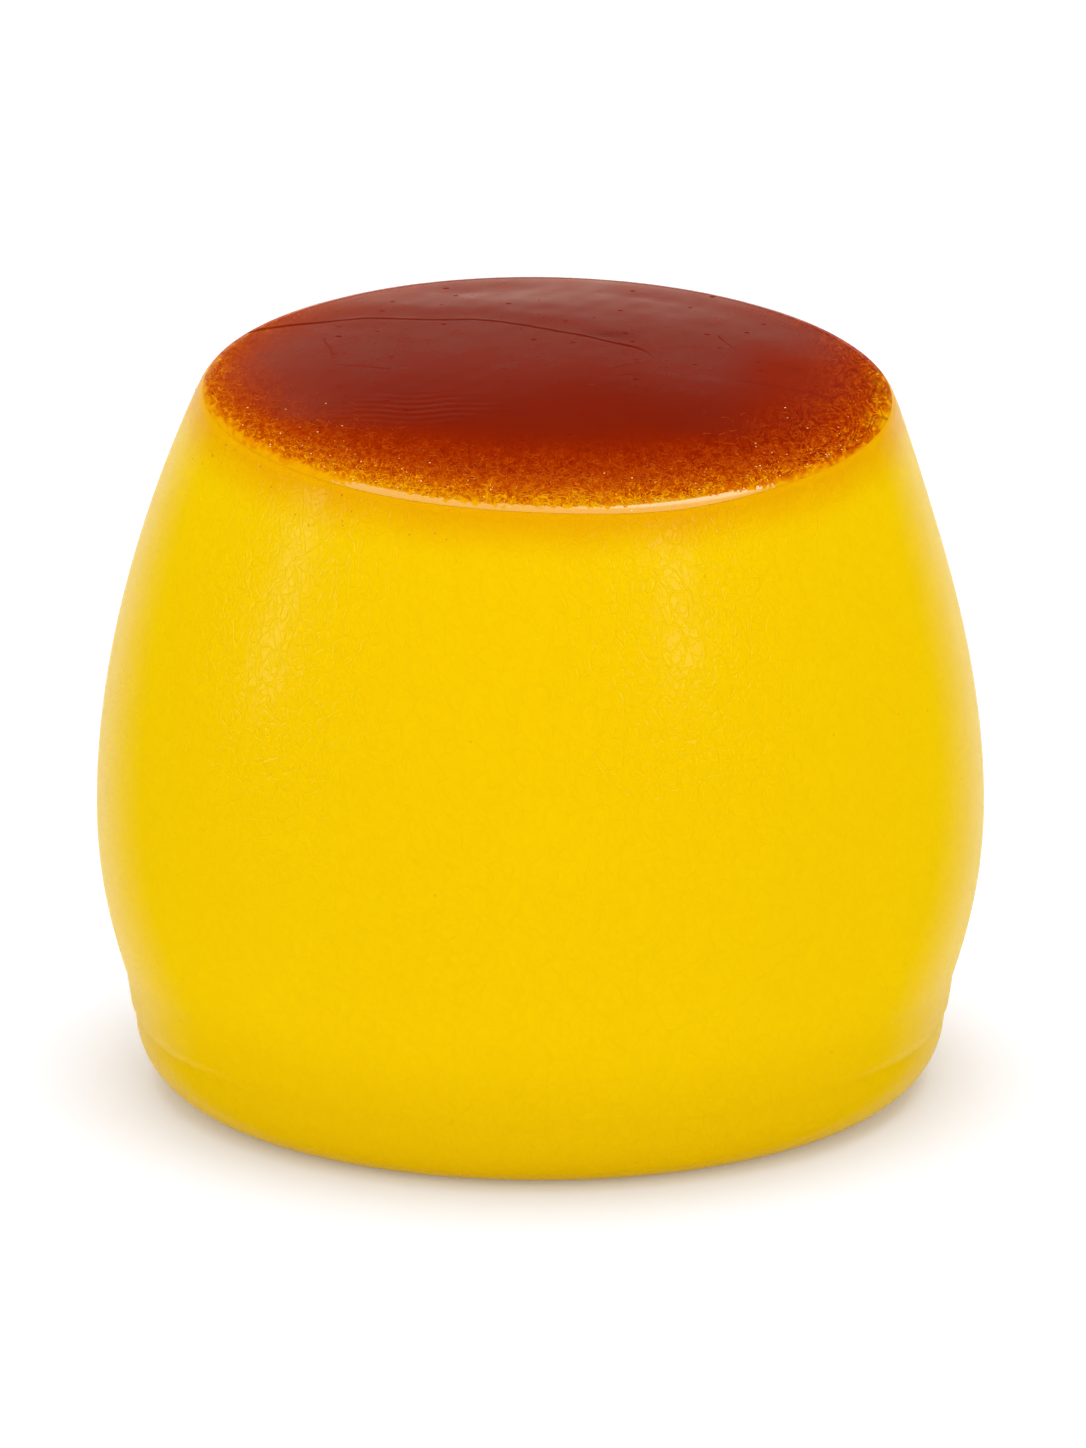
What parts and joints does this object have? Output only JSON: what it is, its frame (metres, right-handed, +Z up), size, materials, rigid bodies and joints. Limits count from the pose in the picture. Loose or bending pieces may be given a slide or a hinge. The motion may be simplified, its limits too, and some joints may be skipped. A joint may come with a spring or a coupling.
{
  "type": "caramel pudding",
  "caption": "Turned-out custard pudding: a soft barrel on a low rounded foot, under a thin glossy layer of caramel.",
  "frame": {"origin": "middle of the flat foot that the pudding stands on, at the height of the surface", "axes": "+Z up from the foot to the caramel, +X to the right and -Y towards the viewer, as in the picture"},
  "size_m": [0.066, 0.066, 0.0547],
  "materials": {
    "custard": "satin, moist",
    "caramel": "glossy, wet"
  },
  "bodies": {
    "root": {"custard": "custard", "caramel": "caramel"}
  },
  "joints": []
}
